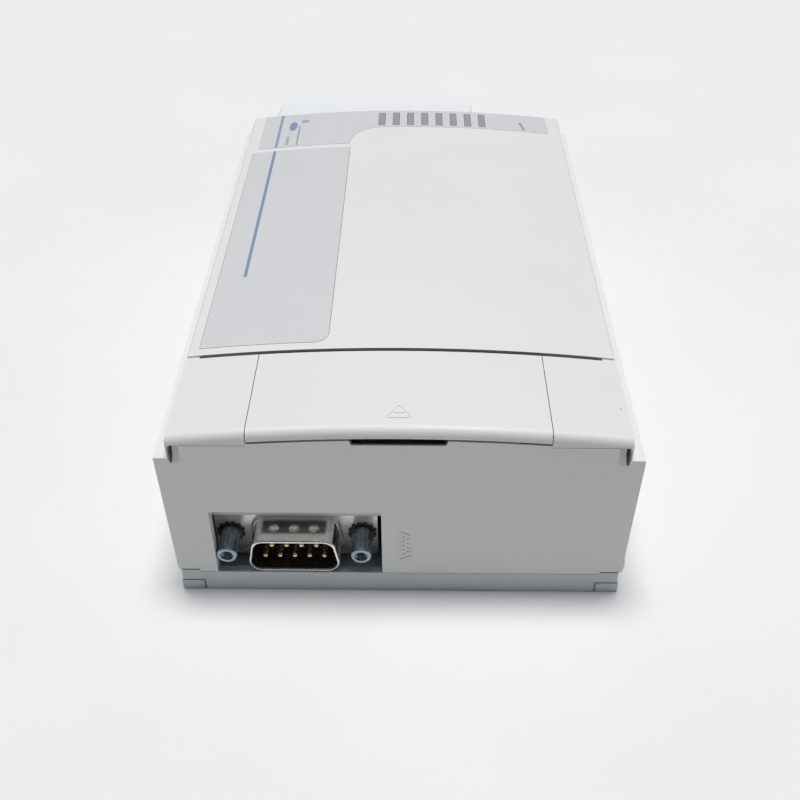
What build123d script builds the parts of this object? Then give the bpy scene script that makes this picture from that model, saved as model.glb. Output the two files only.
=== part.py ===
from build123d import *
import math
import os

# A plug-in processor module of a small programmable controller, lying on its back.
# +Z points out of the crowned cover, -Y is the end with the serial port, and +Y is the
# end that plugs into the controller's base. The origin is the bottom centre of the
# module's box. Every sub-part is drawn with y measured back from the front face, and
# save() moves it into that frame. All sizes are in millimetres.

# Enclosure
BODY_WIDTH = 83.6
FOOT_WIDTH = 83.0
DECK_WIDTH = 78.7
BODY_LENGTH = 124.3
PLUG_REACH = 11.6
TOTAL_LENGTH = BODY_LENGTH + PLUG_REACH
WALL = 1.8
ROOF = 1.9
HOUSING_BOTTOM = 5.1
CORNER_BOTTOM = 5.8
CORNER_X = 37.5
SHOULDER_Z = 34.4
LEDGE_Z = 32.9
LEDGE_INNER = 37.9
CROWN_Z = 41.15
CROWN_RADIUS = 336.5
FRONT_ROUND = 1.6
GROOVE_FRONT = 21.45
GROOVE_BACK = 22.4
GROOVE_HALF = 36.9
BEAM_FRONT = 22.8
BEAM_BACK = 24.25
PARTING_Z = 37.4
PARTING_DEPTH = 0.12

# Access door over the control compartment
DOOR_HALF = 25.63
DOOR_GAP = 0.14
DOOR_THICK = 1.6
LIP_THICK = 2.0
LIP_DEPTH = 1.5
LIP_GAP = 0.42
HINGE_Y = 18.5
HINGE_Z = 38.95
HINGE_PIN_R = 0.7
HINGE_BORE_R = 0.75
KNUCKLE_LENGTH = 3.5
PIN_DEPTH = 2.7
MARK_DEPTH = 0.12
NOTCH_HALF = 8.4
NOTCH_FLOOR = 37.67

# Base plate
BASE_HALF = 41.1
TAB_HALF = 41.4
BASE_FLOOR = 1.8
STRIP_TOP = 5.0
STRIP_THICK = 1.6
TAB_TOP = 2.45
TAB_LEFT = 37.2
SNAP_YS = (8.0, 62.0, 112.0)
SNAP_LENGTH = 9.0

# Accessory bay on the left of the cover, and its lid
BAY_LEFT = -37.22
BAY_RIGHT = -13.4
BAY_FRONT = 24.55
BAY_BACK = 103.5
BAY_FLOOR = 29.5
BAY_WALL = 1.2
LID_THICK = 1.8
LID_GAP = 0.08
LID_CORNER = 2.7
LABEL_THICK = 0.15
LABEL_INSET = 0.06

# Status label, indicator windows and light pipes
LABEL_BACK = 123.6
LABEL_BLOCK_FRONT = 105.3
LABEL_STRIP_FRONT = 114.2
LABEL_STRIP_RIGHT = 35.95
LABEL_LEFT = -36.15
LABEL_STEP_X = -13.56
LABEL_STEP_R = 8.2
INDICATOR_COUNT = 8
INDICATOR_X = -5.98
INDICATOR_PITCH = 3.62
INDICATOR_WIDTH = 1.58
INDICATOR_FRONT = 115.1
INDICATOR_BACK = 122.2

# Serial port, a nine-way D connector
PORT_X = -19.6
PORT_Z = 9.35
CUTOUT_LEFT = -34.1
CUTOUT_RIGHT = -3.2
CUTOUT_TOP = 21.2
FLANGE_Y = 6.4
FLANGE_WIDTH = 30.8
FLANGE_HEIGHT = 12.55
FLANGE_THICK = 0.8
RIM_Y = 0.05
SHELL_HALF = 8.95
SHELL_HEIGHT = 8.3
SHELL_CORNER = 2.5
SHELL_WALL = 0.45
SHELL_LIP_R = 0.4
DENT_PITCH = 3.7
DENT_R = 1.15
SHELL_TAPER = 10.0
JACK_SPACING = 24.99
TUNNEL_WALL = 1.2
PIN_PITCH = 2.77
PIN_ROW = 2.84
PIN_R = 0.5
JACK_BARREL_R = 1.92
JACK_BORE_R = 1.2
JACK_SHANK_R = 1.4
FLANGE_HOLE_R = 1.6
WASHER_THICK = 0.45

# Boards
BOARD_Z = 16.4
BOARD_THICK = 1.6
UPPER_BOARD_Z = 23.5
CONTROL_BOARD_Z = 19.4
CONTROL_BOARD_THICK = 1.2
BOARD_FRONT = 7.6
BOARD_BACK = 120.5

# Control tray below the door
TRAY_HALF = 27.5
TRAY_WALL = 1.2
TRAY_FRONT = 2.0
TRAY_BACK = 23.9
TRAY_FLOOR = 25.2
TRAY_TOP = 37.6
WELL_LEFT = 0.2
WELL_BACK = 20.9
WELL_FLOOR = 19.6

# Chips
LEAD_PITCH = 1.6

# Controls
POT_XS = (-21.5, -14.0)
POT_Y = 11.5
POT_SIDE = 6.2
POT_TOP = 23.9
ROTOR_R = 2.2
ROTOR_TOP = 27.0
SWITCH_X = -5.6
SWITCH_Y = 13.0

# Rear plug
PLUG_LEFT = -34.0
PLUG_RIGHT = 17.6
PLUG_TOP = 37.4
PLUG_BOTTOM = 26.8
PLUG_WALL = 1.2
PLUG_SLOT_GAP = 0.2
PLUG_FOOT = 4.0
PLUG_PITCH = 2.54
PLUG_COLUMNS = 19
PLUG_ROWS = 3

# Screws and standoffs
STANDOFFS = ((-34.0, 30.0), (34.0, 30.0), (-34.0, 108.0), (34.0, 108.0))
STANDOFF_R = 3.2
SCREW_R = 1.45
SCREW_BORE_R = 1.5


def save(shape, node):
    """Writes one sub-part in the module's frame."""
    export_step(Pos(0, -TOTAL_LENGTH / 2, 0) * shape, f"parts/{node}.step")


def block(x0, x1, y0, y1, z0, z1):
    """A box given by its limits."""
    return Pos((x0 + x1) / 2, (y0 + y1) / 2, (z0 + z1) / 2) * Box(x1 - x0, y1 - y0, z1 - z0)


def rod(x, y, z0, z1, radius):
    """An upright cylinder."""
    return Pos(x, y, (z0 + z1) / 2) * Cylinder(radius, z1 - z0)


def rod_y(x, z, y0, y1, radius):
    """A cylinder along Y."""
    return Pos(x, (y0 + y1) / 2, z) * Rot(90, 0, 0) * Cylinder(radius, y1 - y0)


def rod_x(y, z, x0, x1, radius):
    """A cylinder along X."""
    return Pos((x0 + x1) / 2, y, z) * Rot(0, 90, 0) * Cylinder(radius, x1 - x0)


def prism_y(points, y0, y1):
    """A closed outline of (x, z) points, extruded along Y."""
    outline = Plane.XZ * make_face(Polyline(*points, close=True))
    return Pos(0, y1, 0) * extrude(outline, amount=y1 - y0)


def prism_x(points, x0, x1):
    """A closed outline of (y, z) points, extruded along X."""
    outline = Plane.YZ * make_face(Polyline(*points, close=True))
    return Pos(x0, 0, 0) * extrude(outline, amount=x1 - x0)


def crown_height(x):
    """The height of the crowned cover surface at x."""
    return CROWN_Z - CROWN_RADIUS + math.sqrt(CROWN_RADIUS**2 - x * x)


def both_sides(shape):
    """A shape at the right and its mirror image at the left."""
    return shape + mirror(shape, Plane.YZ)


def under_crown(offset, y0, y1):
    """Everything below the crowned surface moved up by offset, between y0 and y1."""
    reach = BODY_WIDTH / 2 + 2
    side = crown_height(reach) + offset
    arc = ThreePointArc((-reach, side), (0, CROWN_Z + offset), (reach, side))
    sides = Polyline((reach, side), (reach, -1), (-reach, -1), (-reach, side))
    outline = Plane.XZ * make_face(Curve() + [arc, sides])
    return Pos(0, y1, 0) * extrude(outline, amount=y1 - y0)


def crown_slab(top, bottom, y0, y1):
    """The layer between two offsets of the crowned surface."""
    return under_crown(top, y0, y1) - under_crown(bottom, y0 - 1, y1 + 1)


def fillet_front_top(shape, radius):
    """Rounds the edge where the crowned top meets the front face."""
    picked = shape.edges().filter_by(lambda e: abs(e.center().Y) < 1e-3 and e.center().Z > CROWN_Z - 1.5)
    return fillet(picked, radius)


def snap_window(y):
    """The opening in the right side wall that a snap hook of the base plate clicks into."""
    inner = BODY_WIDTH / 2 - WALL - 1
    outer = BODY_WIDTH / 2 + 1
    reach = SNAP_LENGTH / 2 + 0.2
    return block(inner, outer, y - reach, y + reach, 6.6, 9.9)


def pocket_backing():
    """The thicker wall behind the corner notch, which keeps it closed to the inside."""
    return block(36.2, LEDGE_INNER + 0.1, WALL - 0.1, 4.8, LEDGE_Z, PARTING_Z)


def corner_pocket():
    """The small notch high on the right end of the front face: a sloped floor and a deep slot."""
    floor = ((-0.1, PARTING_Z - 0.1), (1.4, PARTING_Z - 0.1), (1.4, 36.8), (-0.1, 32.9))
    slot = Plane.XZ * Pos(38.85, 35.2) * Ellipse(0.4, 1.95)
    return prism_x(floor, 37.1, 38.75) + Pos(0, 4.0, 0) * extrude(slot, amount=4.1)


def parting_line():
    """The fine line across the front face, right of the door, where two mould halves meet."""
    low = PARTING_Z - PARTING_DEPTH
    return block(DOOR_HALF + DOOR_GAP, 37.2, -1, PARTING_DEPTH, low, PARTING_Z)


def guide_rib():
    """The low rib at the foot of the right side wall that keys the module in its guides."""
    wall = FOOT_WIDTH / 2
    proud = BODY_WIDTH / 2
    profile = (
        (wall - 0.5, CORNER_BOTTOM),
        (wall + 0.1, CORNER_BOTTOM),
        (proud, 7.4),
        (proud, 8.4),
        (wall, 9.8),
        (wall - 0.5, 9.8),
    )
    return prism_y(profile, 0, 3.2)


def door_boss():
    """The hinge boss beside the right end of the door, with a blind bore for the pin."""
    boss = block(DOOR_HALF + DOOR_GAP, 30.0, HINGE_Y - 2.2, HINGE_Y + 2.2, HINGE_Z - 2.2, HINGE_Z + 0.6)
    return (boss & under_crown(-0.6, 0, 40)) - hinge_bore()


def hinge_bore():
    return rod_x(HINGE_Y, HINGE_Z, DOOR_HALF, 29.2, HINGE_BORE_R)


def finger_notch():
    """The shallow notch in the front wall below the door's lip, with leaning ends."""
    shoulder = NOTCH_FLOOR + 1.13
    lean = 0.45
    outline = (
        (-NOTCH_HALF, 42),
        (-NOTCH_HALF, shoulder),
        (-NOTCH_HALF + lean, NOTCH_FLOOR),
        (NOTCH_HALF - lean, NOTCH_FLOOR),
        (NOTCH_HALF, shoulder),
        (NOTCH_HALF, 42),
    )
    scoop = block(-NOTCH_HALF + 0.5, NOTCH_HALF - 0.5, 0.5, WALL + 1, NOTCH_FLOOR - 1.4, 42)
    return prism_y(outline, -1, WALL + 1) + scoop


def port_mark():
    """A fine engraved mark beside the port: the outline of a D connector standing on end."""
    outer = prism_y(((0.1, 8.9), (2.3, 9.9), (2.3, 15.7), (0.1, 16.7)), -1, MARK_DEPTH)
    inner = prism_y(((0.35, 9.3), (2.05, 10.1), (2.05, 15.5), (0.35, 16.3)), -2, MARK_DEPTH + 1)
    mark = outer - inner
    for row_x, places in ((0.8, 5), (1.6, 4)):
        for index in range(places):
            z = 12.8 + (index - (places - 1) / 2) * 1.15
            mark += rod_y(row_x, z, -1, MARK_DEPTH, 0.2)
    return mark


def port_tunnel():
    """The walls behind the port's cut-out, which close the gap above and beside the flange."""
    wall = TUNNEL_WALL
    left = PORT_X - FLANGE_WIDTH / 2 - 0.6
    right = CUTOUT_RIGHT
    back = FLANGE_Y - 0.1
    tunnel = block(left - wall, right + wall, WALL - 0.1, back, HOUSING_BOTTOM, CUTOUT_TOP + wall)
    tunnel -= block(left, right, 0, back - wall, 0, CUTOUT_TOP)
    window_top = PORT_Z + FLANGE_HEIGHT / 2 - 0.5
    return tunnel - block(left + 0.4, right, 0, 20, 0, window_top)


def front_deck():
    """The crowned front part, from the front face to the groove, as a solid block."""
    half = DECK_WIDTH / 2
    deck = under_crown(0, 0, GROOVE_FRONT) & block(-half, half, 0, GROOVE_FRONT, LEDGE_Z, 45)
    return fillet_front_top(deck, FRONT_ROUND)


def lower_housing():
    top = BODY_WIDTH / 2
    foot = FOOT_WIDTH / 2
    inner = top - WALL
    end = BODY_LENGTH
    sides = ((-foot, HOUSING_BOTTOM), (foot, HOUSING_BOTTOM), (top, SHOULDER_Z), (-top, SHOULDER_Z))
    shell = prism_y(sides, 0, end)
    shell -= block(-inner, inner, WALL, end - WALL, 0, LEDGE_Z)
    shell -= block(-LEDGE_INNER, LEDGE_INNER, BEAM_BACK, end - 3.6, LEDGE_Z - 1, 50)
    shell -= block(-LEDGE_INNER, LEDGE_INNER, WALL, BEAM_FRONT, LEDGE_Z - 1, 50)
    deck = front_deck()
    roof_space = under_crown(-ROOF, WALL, GROOVE_FRONT - 1.6)
    deck -= roof_space & block(-LEDGE_INNER, LEDGE_INNER, WALL, GROOVE_FRONT, 0, 50)
    housing = shell + deck
    bridge = block(GROOVE_HALF, DECK_WIDTH / 2, GROOVE_FRONT - 0.1, GROOVE_BACK, 32, 40)
    housing += both_sides(bridge & under_crown(-0.4, 20, 30))
    gap = DOOR_HALF + DOOR_GAP
    housing -= block(-gap, gap, WALL, GROOVE_FRONT + 0.01, LEDGE_Z - 1, 50)
    under_lip = crown_slab(5, -LIP_THICK - LIP_GAP, -1, WALL + 1)
    housing -= under_lip & block(-gap, gap, -1, WALL + 1, 0, 60)
    housing += both_sides(door_boss())
    housing -= both_sides(hinge_bore())
    housing += both_sides(pocket_backing())
    housing -= both_sides(corner_pocket())
    housing -= both_sides(parting_line())
    for y in SNAP_YS:
        housing -= both_sides(snap_window(y))
    housing -= finger_notch()
    housing -= port_mark()
    housing += guide_rib()
    housing += port_tunnel()
    housing -= block(CUTOUT_LEFT, CUTOUT_RIGHT, -1, WALL + 1, 0, CUTOUT_TOP)
    slot = PLUG_SLOT_GAP
    housing -= block(PLUG_LEFT - slot, PLUG_RIGHT + slot, end - 4, end + 1, PLUG_BOTTOM - slot, 40)
    return housing - both_sides(block(CORNER_X, top + 1, -1, end + 1, 0, CORNER_BOTTOM))


def top_cover():
    half = DECK_WIDTH / 2
    inner = half - WALL
    end = BODY_LENGTH
    outer = under_crown(0, GROOVE_BACK, end) & block(-half, half, GROOVE_BACK, end, SHOULDER_Z, 45)
    long_edges = outer.edges().filter_by(Axis.Y).sort_by(Axis.Z)[-2:]
    outer = fillet(long_edges, 0.6)
    corner_edges = outer.edges().filter_by(Axis.Z).sort_by(Axis.Y)[-2:]
    outer = fillet(corner_edges, 1.0)
    space = under_crown(-ROOF, GROOVE_BACK + 1.5, end - WALL)
    cover = outer - (space & block(-inner, inner, 0, end, 0, 50))
    cover += both_sides(block(inner - 1.2, inner, BEAM_BACK + 0.2, end - 8, LEDGE_Z, SHOULDER_Z + 1))
    cover -= under_crown(-0.6, GROOVE_BACK - 1, GROOVE_BACK + 0.8) & block(-36, 36, 0, end, 0, 50)
    cover += bay_tub()
    cover -= bay_space()
    recess = label_outline(0.0) & crown_slab(1, -LABEL_THICK, 100, BODY_LENGTH)
    cover -= recess
    for index in range(INDICATOR_COUNT):
        cover -= indicator_slot(index, 0.05)
    slot = PLUG_SLOT_GAP
    cover -= block(PLUG_LEFT - slot, PLUG_RIGHT + slot, end - 6, end + 1, 30, PLUG_TOP + slot)
    return cover


def bay_tub():
    """The walls and floor of the accessory bay, hanging from the cover's roof."""
    tub = block(BAY_LEFT, BAY_RIGHT, BAY_FRONT, BAY_BACK, BAY_FLOOR - BAY_WALL, 45)
    return tub & under_crown(-0.5, 0, BODY_LENGTH)


def bay_space():
    """What is cut out of the bay: the lid's seat, the pocket and the connector's hole."""
    seat = lid_plan(-LID_GAP) - under_crown(-LID_THICK, 0, BODY_LENGTH)
    wall = BAY_WALL
    pocket = block(
        BAY_LEFT + wall, BAY_RIGHT - wall, BAY_FRONT + wall, BAY_BACK - wall, BAY_FLOOR, 50
    )
    hole = block(-28.7, -22.3, 33.2, 60.8, 20, 50)
    return seat + pocket + hole


def lid_plan(inset):
    """The upright prism over the bay's lid, drawn in by inset; its front right corner is round."""
    return rounded_plan(
        BAY_LEFT + inset,
        BAY_RIGHT - inset,
        BAY_FRONT + inset,
        BAY_BACK - inset,
        (0.4, LID_CORNER - inset, 0.4, 0.4),
    )


def rounded_plan(x0, x1, y0, y1, radii):
    """An upright prism over a rectangle whose corners have the radii (x0y0, x1y0, x1y1, x0y1)."""
    plan = block(x0, x1, y0, y1, 20, 50)
    corners = ((x0, y0), (x1, y0), (x1, y1), (x0, y1))
    for (x, y), radius in zip(corners, radii):
        near = plan.edges().filter_by(Axis.Z).sort_by_distance(Vector(x, y, 35))[0]
        plan = fillet(near, radius)
    return plan


def bay_lid():
    """The blanking lid of the bay: a crowned plate with a rim that grips the pocket."""
    plate = lid_plan(0) & crown_slab(0, -LID_THICK, 0, BODY_LENGTH)
    step = BAY_WALL + 0.2
    rim = block(BAY_LEFT + step, BAY_RIGHT - step, BAY_FRONT + step, BAY_BACK - step, 35.1, 50)
    step += 1.0
    rim -= block(BAY_LEFT + step, BAY_RIGHT - step, BAY_FRONT + step, BAY_BACK - step, 30, 50)
    lid = plate + (rim & under_crown(-LID_THICK + 0.3, 0, BODY_LENGTH))
    return lid - bay_label()


def bay_label():
    return lid_plan(LABEL_INSET) & crown_slab(0, -LABEL_THICK, 0, BODY_LENGTH)


def label_outline(gap):
    """The upright prism over the L-shaped status label, drawn in by gap."""
    radius = LABEL_STEP_R + gap
    left = LABEL_LEFT + gap
    right = LABEL_STRIP_RIGHT - gap
    step_x = LABEL_STEP_X - gap
    low = LABEL_BLOCK_FRONT + gap
    strip = LABEL_STRIP_FRONT + gap
    back = LABEL_BACK - gap
    turn = (step_x + radius * (1 - math.sqrt(0.5)), strip - radius * (1 - math.sqrt(0.5)))
    arc = ThreePointArc((step_x, strip - radius), turn, (step_x + radius, strip))
    rest = Polyline(
        (step_x + radius, strip),
        (right, strip),
        (right, back),
        (left, back),
        (left, low),
        (step_x, low),
        (step_x, strip - radius),
    )
    return Pos(0, 0, 20) * extrude(make_face(Curve() + [arc, rest]), amount=30)


def indicator_x(index):
    return INDICATOR_X + INDICATOR_PITCH * index


def indicator_slot(index, gap):
    """The upright prism of one indicator window, grown by gap."""
    reach = INDICATOR_WIDTH / 2 + gap
    x = indicator_x(index)
    return block(x - reach, x + reach, INDICATOR_FRONT - gap, INDICATOR_BACK + gap, 30, 50)


def status_label():
    label = label_outline(0.03) & crown_slab(0, -LABEL_THICK, 100, BODY_LENGTH)
    for index in range(INDICATOR_COUNT):
        label -= indicator_slot(index, 0.08)
    return label


def light_pipes():
    """Eight clear pipes, each a window in the cover with a stem down to its lamp."""
    pipes = []
    for index in range(INDICATOR_COUNT):
        window = indicator_slot(index, 0) & crown_slab(0, -ROOF - 0.4, 100, BODY_LENGTH)
        x = indicator_x(index)
        stem = block(x - 0.8, x + 0.8, INDICATOR_FRONT, INDICATOR_FRONT + 2.4, 26.8, 38)
        pipes.append(window + (stem & under_crown(-ROOF, 0, BODY_LENGTH)))
    return Compound(children=pipes)


def indicator_lamps():
    low = UPPER_BOARD_Z + BOARD_THICK
    front = INDICATOR_FRONT - 0.1
    lamps = []
    for index in range(INDICATOR_COUNT):
        x = indicator_x(index)
        lamps.append(block(x - 0.8, x + 0.8, front, front + 2.6, low, low + 1.3))
    return Compound(children=lamps)


def stroke(x0, y0, x1, y1, width):
    """An upright bar over the straight line between two points of the plan."""
    length = math.hypot(x1 - x0, y1 - y0)
    angle = math.degrees(math.atan2(y1 - y0, x1 - x0))
    return Pos((x0 + x1) / 2, (y0 + y1) / 2, 40) * Rot(0, 0, angle) * Box(length, width, 8)


def open_mark():
    """The fine engraved mark on the door that shows where to lift: a triangle and a bar."""
    width = 0.28
    mark = stroke(-2.0, 3.05, 0.05, 6.2, width)
    mark += stroke(2.1, 3.05, 0.05, 6.2, width)
    mark += stroke(-2.0, 3.05, 2.1, 3.05, width)
    mark += stroke(-1.1, 4.3, 1.2, 4.3, width)
    return mark & crown_slab(1, -MARK_DEPTH, 0, GROOVE_FRONT)


def access_door():
    door = under_crown(0, 0, GROOVE_FRONT) & block(-DOOR_HALF, DOOR_HALF, 0, GROOVE_FRONT, 35, 45)
    door = fillet_front_top(door, FRONT_ROUND)
    door -= under_crown(-LIP_THICK, -1, LIP_DEPTH)
    door -= under_crown(-DOOR_THICK, LIP_DEPTH, GROOVE_FRONT + 1)
    end = DOOR_HALF
    knuckle = rod_x(HINGE_Y, HINGE_Z, end - KNUCKLE_LENGTH, end, 1.5)
    knuckle += block(end - KNUCKLE_LENGTH, end, HINGE_Y - 1.5, HINGE_Y + 1.5, HINGE_Z, HINGE_Z + 1)
    rib = block(end - 1.9, end - 0.7, 3.4, HINGE_Y, HINGE_Z - 1.8, HINGE_Z + 0.6)
    door += both_sides((knuckle & under_crown(-0.4, 0, 40)) + (rib & under_crown(-1.2, 0, 40)))
    door -= both_sides(rod_x(HINGE_Y, HINGE_Z, end - PIN_DEPTH, end + 1, HINGE_PIN_R))
    return door - open_mark()


def door_hinge_pins():
    right = rod_x(HINGE_Y, HINGE_Z, DOOR_HALF - PIN_DEPTH, DOOR_HALF + 3.2, HINGE_PIN_R)
    return Compound(children=[right, mirror(right, Plane.YZ)])


def base_plate():
    end = BODY_LENGTH
    base = block(-BASE_HALF, BASE_HALF, 0, end, 0, STRIP_TOP)
    base += both_sides(block(CORNER_X, BASE_HALF, 0, end, STRIP_TOP, CORNER_BOTTOM - 0.35))
    inner = BASE_HALF - 1.3
    base -= block(-inner, inner, STRIP_THICK, end - STRIP_THICK, BASE_FLOOR, 20)
    base += both_sides(corner_tab())
    base -= both_sides(tab_lines())
    for y in SNAP_YS:
        base += both_sides(snap_hook(y))
    for x, y in STANDOFFS:
        base -= rod(x, y, -1, BASE_FLOOR + 1, SCREW_BORE_R)
        base -= Pos(x, y, 0.65) * Cone(3.0, SCREW_BORE_R, 1.5)
    for index in range(9):
        y = 44 + 6.0 * index
        base -= both_sides(block(10, 28, y - 1.1, y + 1.1, -1, BASE_FLOOR + 1))
    base -= block(-24, 24, 8.5, 36.5, -1, 0.3)
    return base


def corner_tab():
    """The foot at the right front corner of the base, which stands a little proud."""
    tab = block(TAB_LEFT, TAB_HALF, 0, 3.0, 0, TAB_TOP)
    corner = tab.edges().filter_by(Axis.Y).sort_by(Axis.X)[-2:]
    return fillet(corner, 0.3)


def tab_lines():
    """The two thin grooves that set the right foot off from the front strip."""
    above = block(TAB_LEFT - 0.3, TAB_HALF + 1, -1, 0.5, TAB_TOP, TAB_TOP + 0.28)
    beside = block(TAB_LEFT - 0.3, TAB_LEFT, -1, 0.6, -1, TAB_TOP + 0.28)
    return above + beside


def snap_hook(y):
    """A springy arm with a hook that clicks into a window of the housing's right side wall."""
    wall = BODY_WIDTH / 2 - WALL
    proud = BODY_WIDTH / 2
    profile = (
        (38.5, BASE_FLOOR - 0.5),
        (wall - 0.2, BASE_FLOOR - 0.5),
        (wall - 0.2, 6.9),
        (proud, 6.9),
        (proud, 7.6),
        (wall - 0.2, 9.7),
        (38.5, 9.7),
    )
    return prism_y(profile, y - SNAP_LENGTH / 2, y + SNAP_LENGTH / 2)


def rating_label():
    return block(-23.7, 23.7, 8.8, 36.2, 0.14, 0.3)


def control_tray():
    """The moulded tray below the door: a shelf for the controls and a well for the cell."""
    outer = TRAY_HALF
    wall = TRAY_WALL
    top = block(-outer, outer, TRAY_FRONT, TRAY_BACK, TRAY_FLOOR - wall, TRAY_TOP)
    top -= block(-outer + wall, outer - wall, TRAY_FRONT + wall, TRAY_BACK - wall, TRAY_FLOOR, 50)
    well = block(WELL_LEFT - wall, outer, TRAY_FRONT, WELL_BACK, WELL_FLOOR - wall, TRAY_FLOOR)
    tray = top + well
    tray -= block(WELL_LEFT, outer - wall, TRAY_FRONT + wall, WELL_BACK - wall, WELL_FLOOR, 50)
    tray -= block(-50, 50, GROOVE_FRONT - 1.7, 30, LEDGE_Z - 0.2, 50)
    tray -= block(-50, 50, HINGE_Y - 2.6, 30, HINGE_Z - 2.8, 50)
    for x in POT_XS:
        tray -= rod(x, POT_Y, 20, 30, ROTOR_R + 0.4)
    tray -= block(SWITCH_X - 1.6, SWITCH_X + 1.6, SWITCH_Y - 4.3, SWITCH_Y + 4.3, 20, 30)
    return tray


def control_board():
    return block(-25.5, -1.6, 6.8, 20.4, CONTROL_BOARD_Z, CONTROL_BOARD_Z + CONTROL_BOARD_THICK)


def control_header():
    return block(-12.2, -3.2, 17.4, 19.8, BOARD_Z + BOARD_THICK, CONTROL_BOARD_Z)


def trim_pot_bodies():
    low = CONTROL_BOARD_Z + CONTROL_BOARD_THICK
    reach = POT_SIDE / 2
    bodies = []
    for x in POT_XS:
        body = block(x - reach, x + reach, POT_Y - reach, POT_Y + reach, low, POT_TOP)
        bodies.append(body - rod(x, POT_Y, 21.4, 30, ROTOR_R + 0.06))
    return Compound(children=bodies)


def trim_pot_rotor(x):
    """A trimmer's rotor with a screwdriver slot and a short pointer groove."""
    rotor = rod(x, POT_Y, 21.6, ROTOR_TOP, ROTOR_R)
    above = ROTOR_TOP + 1
    rotor -= block(x - 0.45, x + 0.45, POT_Y - ROTOR_R, POT_Y + ROTOR_R, ROTOR_TOP - 0.9, above)
    return rotor - block(x - 0.2, x + 0.2, POT_Y, POT_Y + ROTOR_R + 0.1, ROTOR_TOP - 1.5, above)


def mode_switch_body():
    low = CONTROL_BOARD_Z + CONTROL_BOARD_THICK
    body = block(SWITCH_X - 3.3, SWITCH_X + 3.3, SWITCH_Y - 6, SWITCH_Y + 6, low, POT_TOP)
    return body - block(SWITCH_X - 1.35, SWITCH_X + 1.35, SWITCH_Y - 4.2, SWITCH_Y + 4.2, 21.6, 30)


def mode_switch_lever():
    stem = block(SWITCH_X - 1.15, SWITCH_X + 1.15, SWITCH_Y - 1.2, SWITCH_Y + 1.2, 21.9, 26)
    cap = block(SWITCH_X - 2.0, SWITCH_X + 2.0, SWITCH_Y - 1.5, SWITCH_Y + 1.5, 25.6, 28.6)
    cap = fillet(cap.edges().group_by(Axis.Z)[-1], 0.4)
    lever = stem + cap
    for step in (-0.8, 0, 0.8):
        y = SWITCH_Y + step
        lever -= block(SWITCH_X - 3, SWITCH_X + 3, y - 0.12, y + 0.12, 28.35, 29)
    return lever


def battery():
    """A short lithium cell lying across the well, with its raised cap at the left end."""
    cell = rod_x(11.8, 26.9, 1.9, 24.9, 7.2)
    cell = fillet(cell.edges(), 0.6)
    return cell + rod_x(11.8, 26.9, 1.3, 2.4, 2.6)


def battery_contacts():
    left = block(WELL_LEFT + 0.05, WELL_LEFT + 0.45, 8.3, 15.3, WELL_FLOOR, 30.5)
    left += block(WELL_LEFT + 0.05, WELL_LEFT + 1.1, 10.3, 13.3, 25.4, 28.4)
    right = block(25.85, 26.25, 8.3, 15.3, WELL_FLOOR, 30.5)
    right += block(24.9, 26.25, 10.3, 13.3, 25.4, 28.4)
    return Compound(children=[left, right])


def main_board():
    board = block(-38.5, 38.5, BOARD_FRONT, BOARD_BACK, BOARD_Z, BOARD_Z + BOARD_THICK)
    for x, y in STANDOFFS:
        board -= rod(x, y, 0, 50, SCREW_BORE_R)
    for x, z in pin_places():
        board -= rod(x, port_tail_y(z), 0, 50, 0.5)
    return board


def upper_board():
    return block(-37.0, 37.0, 89.0, BOARD_BACK, UPPER_BOARD_Z, UPPER_BOARD_Z + BOARD_THICK)


def stack_headers():
    """The two plugs that carry the upper board on the main board."""
    low = BOARD_Z + BOARD_THICK
    headers = []
    for x in (-21.0, 21.0):
        headers.append(block(x - 9.5, x + 9.5, 93.0, 98.0, low, UPPER_BOARD_Z))
    return Compound(children=headers)


def chip(x, y, width, length, height, z):
    """A moulded chip with gull-wing leads along its two long sides."""
    body = block(x - width / 2, x + width / 2, y - length / 2, y + length / 2, z + 0.2, z + height)
    body = chamfer(body.edges().group_by(Axis.Z)[-1], 0.3)
    count = int(length / LEAD_PITCH)
    reach = width / 2 + 1.2
    for index in range(count):
        lead_y = y + (index - (count - 1) / 2) * LEAD_PITCH
        body += block(x - reach, x + reach, lead_y - 0.3, lead_y + 0.3, z, z + 0.5)
    return body


def processor_chip():
    return chip(12.0, 64.0, 26.0, 26.0, 3.2, BOARD_Z + BOARD_THICK)


def memory_chips():
    low = BOARD_Z + BOARD_THICK
    return Compound(children=[chip(x, 84.0, 8.0, 14.0, 2.4, low) for x in (-6.0, 8.0)])


def driver_chip():
    return chip(22.0, 34.0, 7.5, 11.0, 2.4, BOARD_Z + BOARD_THICK)


def clock_crystal():
    can = block(-10.4, -6.0, 58.0, 69.0, BOARD_Z + BOARD_THICK, BOARD_Z + BOARD_THICK + 3.4)
    return fillet(can.edges().filter_by(Axis.Z), 2.1)


def capacitors():
    low = BOARD_Z + BOARD_THICK
    cans = []
    for x, y in ((30.5, 48.0), (30.5, 60.0), (30.5, 72.0), (-8.0, 44.0)):
        can = rod(x, y, low, low + 8.5, 4.0)
        cans.append(fillet(can.edges().group_by(Axis.Z)[-1], 0.5))
    return Compound(children=cans)


def bay_socket():
    """The socket on the main board that reaches up into the accessory bay."""
    body = block(-28.5, -22.5, 33.5, 60.5, BOARD_Z + BOARD_THICK, 33.0)
    for row in (-1, 1):
        for index in range(10):
            x = -25.5 + row * 1.27
            y = 47.0 + (index - 4.5) * PLUG_PITCH
            body -= block(x - 0.4, x + 0.4, y - 0.4, y + 0.4, 26.0, 40)
    return body


def bay_socket_contacts():
    contacts = []
    for row in (-1, 1):
        for index in range(10):
            x = -25.5 + row * 1.27
            y = 47.0 + (index - 4.5) * PLUG_PITCH
            contacts.append(block(x - 0.3, x + 0.3, y - 0.15, y + 0.15, 26.0, 32.4))
    return Compound(children=contacts)


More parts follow.
